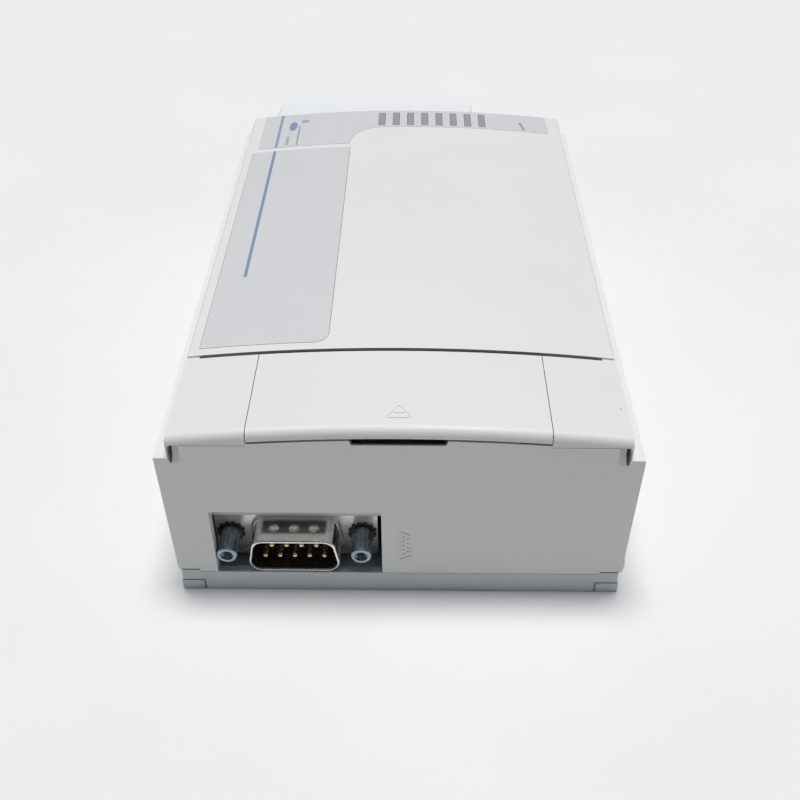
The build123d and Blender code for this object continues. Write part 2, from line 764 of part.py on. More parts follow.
def d_outline(half, height, corner, y0, y1):
    """The D shape of the serial port, wide side down, extruded along Y."""
    lean = height * math.tan(math.radians(SHELL_TAPER))
    points = (
        (PORT_X - half, PORT_Z - height / 2),
        (PORT_X + half, PORT_Z - height / 2),
        (PORT_X + half - lean, PORT_Z + height / 2),
        (PORT_X - half + lean, PORT_Z + height / 2),
    )
    shape = prism_y(points, y0, y1)
    along = shape.edges().filter_by(Axis.Y)
    return fillet(along, corner)


def port_shell():
    """The port's bright metal flange with its D-shaped shroud and grounding dimples."""
    back = FLANGE_Y + FLANGE_THICK
    low = PORT_Z - FLANGE_HEIGHT / 2
    high = PORT_Z + FLANGE_HEIGHT / 2
    reach = FLANGE_WIDTH / 2
    plate = block(PORT_X - reach, PORT_X + reach, FLANGE_Y, back, low, high)
    plate = fillet(plate.edges().filter_by(Axis.Y), 1.2)
    shroud = d_outline(SHELL_HALF, SHELL_HEIGHT, SHELL_CORNER, RIM_Y, back)
    shroud = fillet(shroud.edges().group_by(Axis.Y)[0], SHELL_LIP_R)
    foot = d_outline(SHELL_HALF + 0.7, SHELL_HEIGHT + 1.4, SHELL_CORNER + 0.7, FLANGE_Y - 0.5, FLANGE_Y)
    shell = plate + shroud + chamfer_front(foot)
    shell -= d_outline(
        SHELL_HALF - SHELL_WALL, SHELL_HEIGHT - 2 * SHELL_WALL, SHELL_CORNER - SHELL_WALL, -1, 20
    )
    top = PORT_Z + SHELL_HEIGHT / 2
    for step in (-DENT_PITCH, 0, DENT_PITCH):
        dimple = Pos(PORT_X + step, 3.4, top + 0.55) * Sphere(DENT_R)
        shell -= dimple
        bump = (Pos(PORT_X + step, 3.4, top + 0.1) * Sphere(DENT_R)) - dimple
        inside = block(PORT_X - 8, PORT_X + 8, 0, 7, PORT_Z, top - SHELL_WALL + 0.02)
        shell += bump & inside
    for side in (-1, 1):
        shell -= rod_y(PORT_X + side * JACK_SPACING / 2, PORT_Z, 0, 20, FLANGE_HOLE_R)
    return shell


def chamfer_front(foot):
    """The drawn radius at the shroud's foot, as a chamfer facing forward."""
    front = foot.edges().group_by(Axis.Y)[0]
    return chamfer(front, 0.45)


def port_insulator():
    back = FLANGE_Y + FLANGE_THICK
    inset = SHELL_WALL + 0.03
    core = d_outline(
        SHELL_HALF - inset, SHELL_HEIGHT - 2 * inset, SHELL_CORNER - inset, FLANGE_Y - 0.7, back
    )
    body = block(PORT_X - 9.4, PORT_X + 9.4, back, 17.0, PORT_Z - 5.4, PORT_Z + 6.2)
    insulator = core + body
    for x, z in pin_places():
        insulator -= rod_y(x, z, 0, 20, PIN_R + 0.02)
    return insulator


def pin_places():
    """The centres of the port's pins: five in the lower row, four in the upper."""
    lower = [(PORT_X + (index - 2) * PIN_PITCH, PORT_Z - PIN_ROW / 2) for index in range(5)]
    upper = [(PORT_X + (index - 1.5) * PIN_PITCH, PORT_Z + PIN_ROW / 2) for index in range(4)]
    return lower + upper


def port_tail_y(z):
    """How far back a pin at height z turns up to the board."""
    return 18.4 if z > PORT_Z else 20.9


def port_pins():
    pins = []
    for x, z in pin_places():
        tail_y = port_tail_y(z)
        pin = rod_y(x, z, 1.35, tail_y + 0.7, PIN_R)
        pin = fillet(pin.edges().group_by(Axis.Y)[0], 0.42)
        tail = rod(x, tail_y, z, BOARD_Z + BOARD_THICK + 0.8, 0.4)
        pins.append(pin + tail)
    return Compound(children=pins)


def port_brackets():
    """Two angle brackets that hold the port's flange to the main board above it."""
    brackets = []
    for side in (-1, 1):
        x = PORT_X + side * JACK_SPACING / 2
        back = FLANGE_Y + FLANGE_THICK
        bracket = block(x - 2.6, x + 2.6, back, back + 0.8, PORT_Z - 4.5, BOARD_Z)
        bracket += block(x - 2.6, x + 2.6, back, 15.5, BOARD_Z - 0.8, BOARD_Z)
        bracket -= rod_y(x, PORT_Z, 0, 20, FLANGE_HOLE_R)
        brackets.append(bracket)
    return Compound(children=brackets)


def jack_post(side):
    """A jack post: a ribbed round barrel with a blind thread, and a shank through the flange."""
    x = PORT_X + side * JACK_SPACING / 2
    root = FLANGE_Y - WASHER_THICK
    barrel = rod_y(x, PORT_Z, RIM_Y + 0.1, root, JACK_BARREL_R)
    barrel = fillet(barrel.edges().group_by(Axis.Y)[0], 0.3)
    ring = JACK_BARREL_R + 0.22
    for index in range(12):
        angle = math.radians(30 * index)
        rib_x = x + ring * math.cos(angle)
        rib_z = PORT_Z + ring * math.sin(angle)
        barrel -= rod_y(rib_x, rib_z, RIM_Y + 1.0, root - 0.6, 0.32)
    shank = rod_y(x, PORT_Z, root - 0.1, 11.0, JACK_SHANK_R)
    return barrel + shank - rod_y(x, PORT_Z, RIM_Y - 0.1, RIM_Y + 4.6, JACK_BORE_R)


def jack_posts():
    return Compound(children=[jack_post(-1), jack_post(1)])


def lock_washers():
    """Star washers with round teeth, between the jack posts and the flange."""
    front = FLANGE_Y - WASHER_THICK
    washers = []
    for side in (-1, 1):
        x = PORT_X + side * JACK_SPACING / 2
        washer = rod_y(x, PORT_Z, front, FLANGE_Y, 2.3)
        for index in range(12):
            angle = math.radians(30 * index + 15)
            tooth_x = x + 2.3 * math.cos(angle)
            tooth_z = PORT_Z + 2.3 * math.sin(angle)
            washer += rod_y(tooth_x, tooth_z, front, FLANGE_Y, 0.4)
        washers.append(washer - rod_y(x, PORT_Z, 0, 20, JACK_SHANK_R + 0.02))
    return Compound(children=washers)


def jack_nuts():
    nuts = []
    for side in (-1, 1):
        x = PORT_X + side * JACK_SPACING / 2
        nut = Pos(x, 10.4, PORT_Z) * Rot(90, 0, 0) * extrude(RegularPolygon(2.75, 6), 2.38)
        nuts.append(nut - rod_y(x, PORT_Z, 0, 20, JACK_SHANK_R + 0.02))
    return Compound(children=nuts)


def rear_plug():
    """The clear shroud at the rear end that plugs into the controller's base."""
    end = TOTAL_LENGTH
    front = BODY_LENGTH - PLUG_FOOT
    shroud = block(PLUG_LEFT, PLUG_RIGHT, front, end, PLUG_BOTTOM, PLUG_TOP)
    shroud = fillet(shroud.edges().filter_by(Axis.Y), 0.8)
    shroud = chamfer(shroud.edges().group_by(Axis.Y)[-1], 0.3)
    wall = PLUG_WALL
    shroud -= block(
        PLUG_LEFT + wall,
        PLUG_RIGHT - wall,
        BODY_LENGTH - 1.5,
        end + 1,
        PLUG_BOTTOM + wall,
        PLUG_TOP - wall,
    )
    middle = (PLUG_LEFT + PLUG_RIGHT) / 2
    low = PLUG_BOTTOM
    shroud -= block(middle - 3, middle + 3, BODY_LENGTH + 2, end + 1, low - 1, low + 2)
    for x, z in plug_places():
        shroud -= block(x - 0.32, x + 0.32, 100, 150, z - 0.32, z + 0.32)
    return shroud


def plug_places():
    """The centres of the rear plug's pins."""
    middle_x = (PLUG_LEFT + PLUG_RIGHT) / 2
    middle_z = (PLUG_TOP + PLUG_BOTTOM) / 2
    places = []
    for row in range(PLUG_ROWS):
        for column in range(PLUG_COLUMNS):
            x = middle_x + (column - (PLUG_COLUMNS - 1) / 2) * PLUG_PITCH
            z = middle_z + (row - (PLUG_ROWS - 1) / 2) * PLUG_PITCH
            places.append((x, z))
    return places


def rear_plug_pins():
    pins = []
    for x, z in plug_places():
        row = round((z - (PLUG_TOP + PLUG_BOTTOM) / 2) / PLUG_PITCH)
        tail_y = BODY_LENGTH - 5.7 - 0.9 * row
        pin = block(x - 0.3, x + 0.3, tail_y, BODY_LENGTH + 6.2, z - 0.3, z + 0.3)
        tail = block(x - 0.3, x + 0.3, tail_y, tail_y + 0.6, UPPER_BOARD_Z + BOARD_THICK, z)
        pins.append(pin + tail)
    return Compound(children=pins)


def board_standoffs():
    pillars = []
    for x, y in STANDOFFS:
        pillar = rod(x, y, BASE_FLOOR, BOARD_Z, STANDOFF_R)
        pillars.append(pillar - rod(x, y, 0, 50, SCREW_BORE_R))
    return Compound(children=pillars)


def board_screws():
    """Pan-head screws with a cross recess, down through the board into the standoffs."""
    low = BOARD_Z + BOARD_THICK
    screws = []
    for x, y in STANDOFFS:
        head = rod(x, y, low, low + 1.8, 2.7)
        head = fillet(head.edges().group_by(Axis.Z)[-1], 0.7)
        head -= block(x - 1.5, x + 1.5, y - 0.3, y + 0.3, low + 0.9, low + 3)
        head -= block(x - 0.3, x + 0.3, y - 1.5, y + 1.5, low + 0.9, low + 3)
        screws.append(head + rod(x, y, 11.0, low + 0.2, SCREW_R))
    return Compound(children=screws)


def base_screws():
    """Countersunk screws, up through the base plate into the standoffs."""
    screws = []
    for x, y in STANDOFFS:
        head = Pos(x, y, 0.725) * Cone(2.8, SCREW_R, 1.35)
        head += rod(x, y, 0.6, 8.5, SCREW_R)
        head -= block(x - 1.6, x + 1.6, y - 0.3, y + 0.3, -1, 0.75)
        head -= block(x - 0.3, x + 0.3, y - 1.6, y + 1.6, -1, 0.75)
        screws.append(head)
    return Compound(children=screws)


os.makedirs("parts", exist_ok=True)
save(lower_housing(), "lower_housing")
save(top_cover(), "top_cover")
save(base_plate(), "base_plate")
save(rating_label(), "rating_label")
save(access_door(), "access_door")
save(door_hinge_pins(), "door_hinge_pins")
save(bay_lid(), "bay_lid")
save(bay_label(), "bay_label")
save(status_label(), "status_label")
save(light_pipes(), "light_pipes")
save(indicator_lamps(), "indicator_lamps")
save(control_tray(), "control_tray")
save(control_board(), "control_board")
save(control_header(), "control_header")
save(trim_pot_bodies(), "trim_pot_bodies")
for number, pot_x in enumerate(POT_XS, start=1):
    save(trim_pot_rotor(pot_x), f"trim_pot_rotor_{number}")
save(mode_switch_body(), "mode_switch_body")
save(mode_switch_lever(), "mode_switch_lever")
save(battery(), "battery")
save(battery_contacts(), "battery_contacts")
save(main_board(), "main_board")
save(upper_board(), "upper_board")
save(stack_headers(), "stack_headers")
save(processor_chip(), "processor_chip")
save(memory_chips(), "memory_chips")
save(driver_chip(), "driver_chip")
save(clock_crystal(), "clock_crystal")
save(capacitors(), "capacitors")
save(bay_socket(), "bay_socket")
save(bay_socket_contacts(), "bay_socket_contacts")
save(port_shell(), "port_shell")
save(port_insulator(), "port_insulator")
save(port_pins(), "port_pins")
save(port_brackets(), "port_brackets")
save(jack_posts(), "jack_posts")
save(lock_washers(), "lock_washers")
save(jack_nuts(), "jack_nuts")
save(rear_plug(), "rear_plug")
save(rear_plug_pins(), "rear_plug_pins")
save(board_standoffs(), "board_standoffs")
save(board_screws(), "board_screws")
save(base_screws(), "base_screws")
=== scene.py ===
import math

import bmesh
import bpy
from mathutils import Matrix, Vector


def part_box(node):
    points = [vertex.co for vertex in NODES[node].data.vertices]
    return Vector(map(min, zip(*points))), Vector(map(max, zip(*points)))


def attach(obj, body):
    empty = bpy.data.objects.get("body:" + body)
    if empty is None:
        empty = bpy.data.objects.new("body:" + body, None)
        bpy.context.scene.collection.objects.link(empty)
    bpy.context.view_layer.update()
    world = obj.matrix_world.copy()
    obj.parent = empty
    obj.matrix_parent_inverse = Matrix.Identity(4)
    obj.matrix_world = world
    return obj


# A plug-in processor module of a small programmable controller, lying on its back on a
# pale table. Lengths are in metres, and MM turns millimetres into them.

MM = 0.001
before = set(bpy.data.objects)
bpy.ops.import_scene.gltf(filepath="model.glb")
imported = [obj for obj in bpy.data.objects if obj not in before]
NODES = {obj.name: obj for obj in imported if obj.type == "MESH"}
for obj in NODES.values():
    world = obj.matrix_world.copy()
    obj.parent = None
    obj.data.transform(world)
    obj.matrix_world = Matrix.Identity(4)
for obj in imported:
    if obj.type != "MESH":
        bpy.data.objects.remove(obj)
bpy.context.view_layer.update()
FRONT_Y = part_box("lower_housing")[0].y


def behind(distance):
    """The place along Y that lies so many millimetres behind the front face."""
    return FRONT_Y + distance * MM


# Materials

COVER_COLOUR = (0.738, 0.745, 0.718)
HOUSING_COLOUR = (0.736, 0.74, 0.712)
BASE_COLOUR = (0.57, 0.615, 0.63)
LABEL_COLOUR = (0.642, 0.64, 0.648)
# Painted shade for the seam under the door's lip, and also the colour of a real speck of dirt on the
# deck.
SEAM_SHADE_AND_DIRT = (0.12, 0.095, 0.08)
INK_BLUE = (0.08, 0.17, 0.40)
INK_GREY = (0.17, 0.18, 0.19)

# The blue rule runs along both labels, and this is where it lies across them and where it starts.
RULE_X = (-32.17 * MM, -31.47 * MM)
RULE_START = behind(47.7)

# Marks on the status label. A bar has its limits across and along, and the strength of its ink.
OVAL_CENTRE = (-28.5 * MM, behind(116.6))
OVAL_RADII = (1.05 * MM, 2.6 * MM)
LABEL_BARS = (
    ((-27.05 * MM, -26.65 * MM), (behind(105.9), behind(116.6)), 0.6),
    ((-29.7 * MM, -28.9 * MM), (behind(106.3), behind(110.9)), 0.45),
    ((-26.6 * MM, -24.8 * MM), (behind(118.3), behind(119.9)), 0.5),
)
TICK_MIDDLE = behind(117.0)
TICK_LEAN = 0.222
TICK_X = (29.1 * MM, 29.9 * MM)
TICK_Y = (behind(114.9), behind(119.1))

# Radians per metre of the waves that draw a circuit board's tracks, about 2.6 mm apart.
TRACK_WAVES = 2400.0


class Finish:
    """A procedural material while it is being built: its shader, and short ways to add nodes."""

    def __init__(self, name, roughness, metallic=0.0, ior=1.5):
        self.material = bpy.data.materials.new(name)
        self.material.use_nodes = True
        self.tree = self.material.node_tree
        self.shader = self.tree.nodes["Principled BSDF"]
        self.set("Roughness", roughness)
        self.set("Metallic", metallic)
        self.set("IOR", ior)
        self.place = self.add("ShaderNodeTexCoord").outputs["Object"]
        self.axes = self.add("ShaderNodeSeparateXYZ", Vector=self.place).outputs
        # The colour and the roughness so far, which stain and polish build on.
        self.tone = None
        self.gloss = None

    def set(self, name, value):
        """Sets or links one input of the shader."""
        self.feed(self.shader.inputs[name], value)

    def feed(self, socket, value):
        """Links another node's output to a socket, or sets the socket's own value."""
        if isinstance(value, bpy.types.NodeSocket):
            self.tree.links.new(value, socket)
        else:
            socket.default_value = value

    def add(self, kind, options=None, **inputs):
        """Adds a node, with its options set and its named inputs fed."""
        made = self.tree.nodes.new(kind)
        for name, value in (options or {}).items():
            setattr(made, name, value)
        for name, value in inputs.items():
            self.feed(made.inputs[name], value)
        return made

    def noise(self, size, detail=2.0, stretch=(1.0, 1.0, 1.0)):
        """Noise from 0 to 1 whose lumps are about size metres across."""
        spread = self.add("ShaderNodeMapping", Vector=self.place, Scale=stretch).outputs["Vector"]
        made = self.add("ShaderNodeTexNoise", Vector=spread, Scale=1.0 / size, Detail=detail)
        return made.outputs["Fac"]

    def remap(self, value, low, high, to_low=0.0, to_high=1.0):
        """The value stretched from one range to another, and held at the ends."""
        made = self.add("ShaderNodeMapRange", {"clamp": True})
        for name, given in (
            ("Value", value),
            ("From Min", low),
            ("From Max", high),
            ("To Min", to_low),
            ("To Max", to_high),
        ):
            self.feed(made.inputs[name], given)
        return made.outputs["Result"]

    def maths(self, operation, first, second=0.0):
        """The result of one operation on one or two values."""
        made = self.add("ShaderNodeMath", {"operation": operation})
        self.feed(made.inputs[0], first)
        self.feed(made.inputs[1], second)
        return made.outputs["Value"]

    def mix(self, share, first, second):
        """The colour between first and second."""
        made = self.add("ShaderNodeMix", {"data_type": "RGBA"})
        self.feed(made.inputs["Factor"], share)
        # This node has sockets of several types. The colours are inputs 6 and 7, and output 2.
        self.feed(made.inputs[6], rgba(first) if isinstance(first, tuple) else first)
        self.feed(made.inputs[7], rgba(second) if isinstance(second, tuple) else second)
        return made.outputs[2]

    def bump(self, height, depth, strength=1.0, normal=None):
        """A relief of that height pattern, depth metres deep, on top of another one."""
        made = self.add("ShaderNodeBump", Height=height, Distance=depth, Strength=strength)
        if normal is not None:
            self.feed(made.inputs["Normal"], normal)
        return made.outputs["Normal"]

    def inside(self, value, low, high, soft=0.02 * MM):
        """1 where value lies between low and high, with soft ends."""
        rise = self.remap(value, low - soft, low + soft)
        fall = self.remap(value, high - soft, high + soft, 1.0, 0.0)
        return self.maths("MULTIPLY", rise, fall)

    def window(self, x_span, y_span, z_span=None):
        """1 inside a rectangle of the plan, or inside a box, given by its limits."""
        across = self.inside(self.axes["X"], *x_span)
        along = self.inside(self.axes["Y"], *y_span)
        area = self.maths("MULTIPLY", across, along)
        if z_span is None:
            return area
        return self.maths("MULTIPLY", area, self.inside(self.axes["Z"], *z_span))

    def stain(self, area, strength, colour):
        """Tints the finish towards a colour inside an area."""
        self.tone = self.mix(self.maths("MULTIPLY", area, strength), self.tone, colour)
        self.set("Base Color", self.tone)

    def polish(self, area, share):
        """Scales the roughness inside an area."""
        factor = self.remap(area, 0.0, 1.0, 1.0, share)
        self.gloss = self.maths("MULTIPLY", self.gloss, factor)
        self.set("Roughness", self.gloss)


def rgba(colour):
    """A colour with full opacity."""
    return (*colour, 1.0)


def shade(colour, factor):
    """A colour made darker or lighter."""
    return tuple(part * factor for part in colour)


def moulded_plastic(name, colour, roughness=0.5, grain=0.35 * MM, depth=0.006 * MM):
    """Matt moulded plastic: a fine spark-eroded grain, faint clouding and slight handling marks."""
    made = Finish(name, roughness)
    clouds = made.noise(28 * MM, 3.0)
    specks = made.noise(grain * 1.3, 1.0)
    tone = made.mix(made.remap(clouds, 0.3, 0.7), shade(colour, 0.985), shade(colour, 1.01))
    made.tone = made.mix(made.remap(specks, 0.62, 0.8, 0.0, 0.35), tone, shade(colour, 0.93))
    made.set("Base Color", made.tone)
    made.gloss = made.remap(made.noise(14 * MM, 4.0), 0.45, 0.75, roughness + 0.04, roughness - 0.08)
    made.set("Roughness", made.gloss)
    fine = made.bump(made.noise(grain, 2.0), depth)
    made.set("Normal", made.bump(made.noise(9 * MM, 1.0), 0.02 * MM, 0.5, fine))
    return made


def plated_metal(name, colour, roughness, mottle=0.6 * MM, brushed=(1.0, 1.0, 1.0), metallic=1.0):
    """Plated sheet or turned metal: slightly uneven gloss and faint marks from the tool."""
    made = Finish(name, roughness, metallic)
    stains = made.remap(made.noise(mottle * 4, 3.0), 0.35, 0.75)
    made.tone = made.mix(stains, shade(colour, 1.03), shade(colour, 0.86))
    made.set("Base Color", made.tone)
    marks = made.noise(mottle, 3.0, brushed)
    made.gloss = made.remap(marks, 0.3, 0.7, roughness * 0.75, roughness * 1.3)
    made.set("Roughness", made.gloss)
    made.set("Normal", made.bump(marks, 0.004 * MM, 0.6))
    return made


def paint(finish, slot, *nodes):
    """Gives CAD nodes a finish."""
    for name in nodes:
        data = NODES[name].data
        data.materials.clear()
        data.materials.append(finish.material)


def housing_finish():
    """The housing's plastic, with painted shade deep in the seam under the door's lip and a speck of
    dirt on the deck.
    """
    made = moulded_plastic("Housing_plastic", HOUSING_COLOUR)
    # Painted shade: the gap under the door's lip is darkened in the colour, where shade falls.
    seam = made.window((-25.9 * MM, 25.9 * MM), (behind(0.25), behind(1.7)), (33.5 * MM, 39.6 * MM))
    made.stain(seam, 0.75, SEAM_SHADE_AND_DIRT)
    speck = made.window((37.95 * MM, 38.25 * MM), (behind(8.05), behind(8.4)))
    made.stain(speck, 0.5, SEAM_SHADE_AND_DIRT)
    return made


def door_finish():
    """The door's plastic: the housing's colour, without its painted seam shade and its speck of dirt."""
    return moulded_plastic("Door_plastic", HOUSING_COLOUR)


def cover_finish():
    """The plastic of the cover and the bay lid, a little lighter than the housing's."""
    return moulded_plastic("Cover_plastic", COVER_COLOUR)


def base_finish():
    """The base's plastic, worn glossy on the ledge under the port."""
    made = moulded_plastic("Base_plastic", BASE_COLOUR, 0.46)
    ledge = made.window((-34.1 * MM, -3.2 * MM), (behind(0.2), behind(8.0)))
    made.polish(ledge, 0.4)
    return made


def label_film(name):
    """Satin film with a fine weave."""
    made = Finish(name, 0.38)
    weave = made.noise(0.5 * MM, 2.0)
    scuffs = made.remap(made.noise(5 * MM, 5.0, (1.0, 0.25, 1.0)), 0.62, 0.74, 0.0, 0.3)
    tone = made.mix(made.remap(weave, 0.3, 0.7), shade(LABEL_COLOUR, 0.985), shade(LABEL_COLOUR, 1.01))
    made.tone = made.mix(scuffs, tone, shade(LABEL_COLOUR, 1.06))
    made.set("Base Color", made.tone)
    made.gloss = made.remap(made.noise(7 * MM, 4.0), 0.4, 0.7, 0.42, 0.34)
    made.set("Roughness", made.gloss)
    made.set("Normal", made.bump(weave, 0.002 * MM))
    return made


def bay_label():
    """The lid's label, with the front part of the blue rule."""
    made = label_film("Bay_label_film")
    made.stain(made.window(RULE_X, (RULE_START, behind(105.0))), 0.74, INK_BLUE)
    return made


def label_oval(made):
    """1 inside the status label's oval, with a soft rim."""
    squares = []
    for axis, centre, radius in zip("XY", OVAL_CENTRE, OVAL_RADII):
        offset = made.maths("SUBTRACT", made.axes[axis], centre)
        share = made.maths("MULTIPLY", offset, 1.0 / radius)
        squares.append(made.maths("POWER", share, 2.0))
    return made.remap(made.maths("ADD", *squares), 0.85, 1.0, 1.0, 0.0)


def label_tick(made):
    """1 inside the status label's slanted tick."""
    lean = made.maths("MULTIPLY", made.maths("SUBTRACT", made.axes["Y"], TICK_MIDDLE), TICK_LEAN)
    slanted = made.inside(made.maths("ADD", made.axes["X"], lean), *TICK_X)
    return made.maths("MULTIPLY", slanted, made.inside(made.axes["Y"], *TICK_Y))


def status_label():
    """The status label: the rule's rear end, a plain oval, plain grey bars and a slanted tick."""
    made = label_film("Status_label_film")
    made.stain(made.window(RULE_X, (behind(104.0), behind(124.0))), 0.62, INK_BLUE)
    made.stain(label_oval(made), 0.7, INK_BLUE)
    for x_span, y_span, strength in LABEL_BARS:
        made.stain(made.window(x_span, y_span), strength, INK_GREY)
    made.stain(label_tick(made), 0.6, INK_GREY)
    return made


def tin_plate():
    """Bright tin plate: a painted dark reflection on the shell's top, painted shade in its mouth, and
    whiter on the flange.
    """
    made = plated_metal("Tin_plate", (1.0, 0.98, 0.94), 0.24, 2.5 * MM, metallic=0.7)
    # Painted reflection: the shell's flat top is darkened in the colour, as if it mirrored the dark
    # recess round it; the dents stay bright.
    along = made.inside(made.axes["Y"], behind(2.0), behind(5.4), 0.4 * MM)
    upper = made.inside(made.axes["Z"], 13.42 * MM, 15.0 * MM, 0.06 * MM)
    top = made.maths("MULTIPLY", along, upper)
    made.stain(top, 0.88, (0.1, 0.105, 0.085))
    made.polish(top, 0.7)
    # Painted shade: the inside of the shell's mouth is darkened in the colour, where shade falls deep in
    # the port.
    mouth = made.window((-27.8 * MM, -11.4 * MM), (behind(0.5), behind(5.6)), (5.4 * MM, 12.6 * MM))
    made.stain(mouth, 0.9, (0.03, 0.022, 0.018))
    flange = made.inside(made.axes["Y"], behind(5.9), behind(8.0), 0.2 * MM)
    made.set("Metallic", made.remap(flange, 0.0, 1.0, 0.7, 0.5))
    return made


def battery_sleeve():
    """The cell's printed sleeve: a bare cap, and a pale ring at its end."""
    made = moulded_plastic("Battery_sleeve", (0.03, 0.12, 0.06), 0.22, 1.5 * MM)
    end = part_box("battery")[0].x
    made.stain(made.inside(made.axes["X"], end - MM, end + 0.9 * MM), 1.0, (0.6, 0.6, 0.6))
    made.stain(made.inside(made.axes["X"], end + 3.0 * MM, end + 5.0 * MM), 0.85, (0.65, 0.66, 0.6))
    return made


def circuit_board():
    """Green solder mask over copper tracks."""
    made = Finish("Circuit_board", 0.32)
    across = made.maths("SINE", made.maths("MULTIPLY", made.axes["X"], TRACK_WAVES))
    along = made.maths("SINE", made.maths("MULTIPLY", made.axes["Y"], TRACK_WAVES))
    region = made.remap(made.noise(9 * MM, 0.0), 0.48, 0.52)
    track = made.remap(made.mix(region, across, along), 0.55, 0.7)
    made.set("Base Color", made.mix(track, (0.012, 0.12, 0.055), (0.03, 0.22, 0.10)))
    made.set("Normal", made.bump(track, 0.03 * MM))
    made.set("Roughness", made.remap(made.noise(3 * MM, 3.0), 0.3, 0.7, 0.26, 0.4))
    return made


def clear_plastic():
    """Natural translucent plastic, which shows the light through it."""
    made = Finish("Clear_plastic", 0.28, ior=1.49)
    milk = made.remap(made.noise(6 * MM, 3.0), 0.3, 0.7)
    made.set("Base Color", made.mix(milk, (0.945, 0.96, 0.97), (0.9, 0.92, 0.935)))
    made.set("Transmission Weight", 0.12)
    made.set("Normal", made.bump(made.noise(2 * MM, 2.0), 0.01 * MM, 0.5))
    return made


# The jack posts and the threads inside them share this finish.
POST_STEEL = plated_metal(
    "Dark_steel", (0.34, 0.4, 0.46), 0.3, 0.35 * MM, (1.0, 0.12, 1.0), 0.75
)


def finish_shell():
    """The housing, door, cover, lid, base and rear plug."""
    paint(housing_finish(), "housing_plastic", "lower_housing")
    paint(door_finish(), "housing_plastic", "access_door")
    paint(cover_finish(), "cover_plastic", "top_cover", "bay_lid")
    paint(base_finish(), "base_plastic", "base_plate")
    paint(clear_plastic(), "clear_plastic", "rear_plug")


def finish_labels():
    """The three labels."""
    paint(bay_label(), "label_film", "bay_label")
    paint(status_label(), "label_film", "status_label")
    paint(label_film("Rating_label_film"), "label_film", "rating_label")


def finish_indicators():
    """The indicator windows and the lamps under them."""
    smoked = moulded_plastic("Smoked_lens", (0.34, 0.345, 0.36), 0.2, 1.2 * MM, 0.003 * MM)
    paint(smoked, "smoked_lens", "light_pipes")
    lamp = moulded_plastic("Lamp_body", (0.7, 0.75, 0.62), 0.15, 1.0 * MM, 0.002 * MM)
    paint(lamp, "lamp_body", "indicator_lamps")


def finish_electronics():
    """The boards, and the plastic pieces on them and round the controls."""
    tray = moulded_plastic("Tray_plastic", (0.09, 0.095, 0.1), 0.5)
    paint(tray, "tray_plastic", "control_tray")
    paint(circuit_board(), "circuit_board", "main_board", "upper_board", "control_board")
    black = moulded_plastic("Black_plastic", (0.018, 0.017, 0.016), 0.38, 0.3 * MM)
    paint(
        black,
        "black_plastic",
        "port_insulator",
        "bay_socket",
        "stack_headers",
        "control_header",
        "mode_switch_body",
        "processor_chip",
        "memory_chips",
        "driver_chip",
    )
    blue = moulded_plastic("Blue_plastic", (0.03, 0.11, 0.4), 0.3, 0.4 * MM)
    paint(blue, "blue_plastic", "trim_pot_bodies")
    white = moulded_plastic("White_plastic", (0.8, 0.79, 0.75), 0.42, 0.4 * MM)
    paint(white, "white_plastic", "trim_pot_rotor_1", "trim_pot_rotor_2", "mode_switch_lever")
    paint(battery_sleeve(), "battery_sleeve", "battery")


def finish_metal():
    """The port's metal, the fixings and every contact."""
    paint(tin_plate(), "tin_plate", "port_shell", "port_brackets", "clock_crystal")
    paint(POST_STEEL, "dark_steel", "jack_posts")
    oxide = plated_metal("Black_oxide", (0.1, 0.105, 0.115), 0.4, 0.35 * MM)
    paint(oxide, "dark_steel", "lock_washers")
    steel = plated_metal("Zinc_steel", (0.62, 0.63, 0.64), 0.28)
    paint(
        steel,
        "steel",
        "jack_nuts",
        "board_standoffs",
        "board_screws",
        "base_screws",
        "door_hinge_pins",
        "battery_contacts",
    )
    paint(plated_metal("Drawn_aluminium", (0.8, 0.8, 0.81), 0.3), "can_aluminium", "capacitors")
    gold = plated_metal("Gold_contact", (0.88, 0.67, 0.42), 0.27)
    paint(gold, "gold_contact", "port_pins", "rear_plug_pins", "bay_socket_contacts")


def finish_nodes():
    """Gives every CAD node its finish."""
    finish_shell()
    finish_labels()
    finish_indicators()
    finish_electronics()
    finish_metal()


# Shape finishing on the CAD nodes

SMOOTH_ANGLE = math.radians(32)
SHARP_ANGLE = math.radians(40)
FLAT_ANGLE = math.radians(0.3)
WELD_DISTANCE = 0.0005 * MM

# The nodes whose sharp edges are broken, and how far.
BROKEN_EDGES = {
    "top_cover": 0.12 * MM,
    "base_plate": 0.12 * MM,
    "bay_lid": 0.08 * MM,
    "control_tray": 0.12 * MM,
}


def smooth_by_angle():
    """A node group that shades smooth over edges flatter than the smooth angle."""
    group = bpy.data.node_groups.new("Smooth_by_angle", "GeometryNodeTree")
    group.interface.new_socket("Geometry", in_out="INPUT", socket_type="NodeSocketGeometry")
    group.interface.new_socket("Geometry", in_out="OUTPUT", socket_type="NodeSocketGeometry")
    start = group.nodes.new("NodeGroupInput")
    end = group.nodes.new("NodeGroupOutput")
    angle = group.nodes.new("GeometryNodeInputMeshEdgeAngle")
    compare = group.nodes.new("FunctionNodeCompare")
    compare.data_type = "FLOAT"
    compare.operation = "LESS_THAN"
    compare.inputs[1].default_value = SMOOTH_ANGLE
    faces = group.nodes.new("GeometryNodeSetShadeSmooth")
    edges = group.nodes.new("GeometryNodeSetShadeSmooth")
    edges.domain = "EDGE"
    link = group.links.new
    link(start.outputs[0], faces.inputs["Geometry"])
    link(faces.outputs["Geometry"], edges.inputs["Geometry"])
    link(angle.outputs["Unsigned Angle"], compare.inputs[0])
    link(compare.outputs["Result"], edges.inputs["Shade Smooth"])
    link(edges.outputs["Geometry"], end.inputs[0])
    return group


SMOOTH_GROUP = smooth_by_angle()


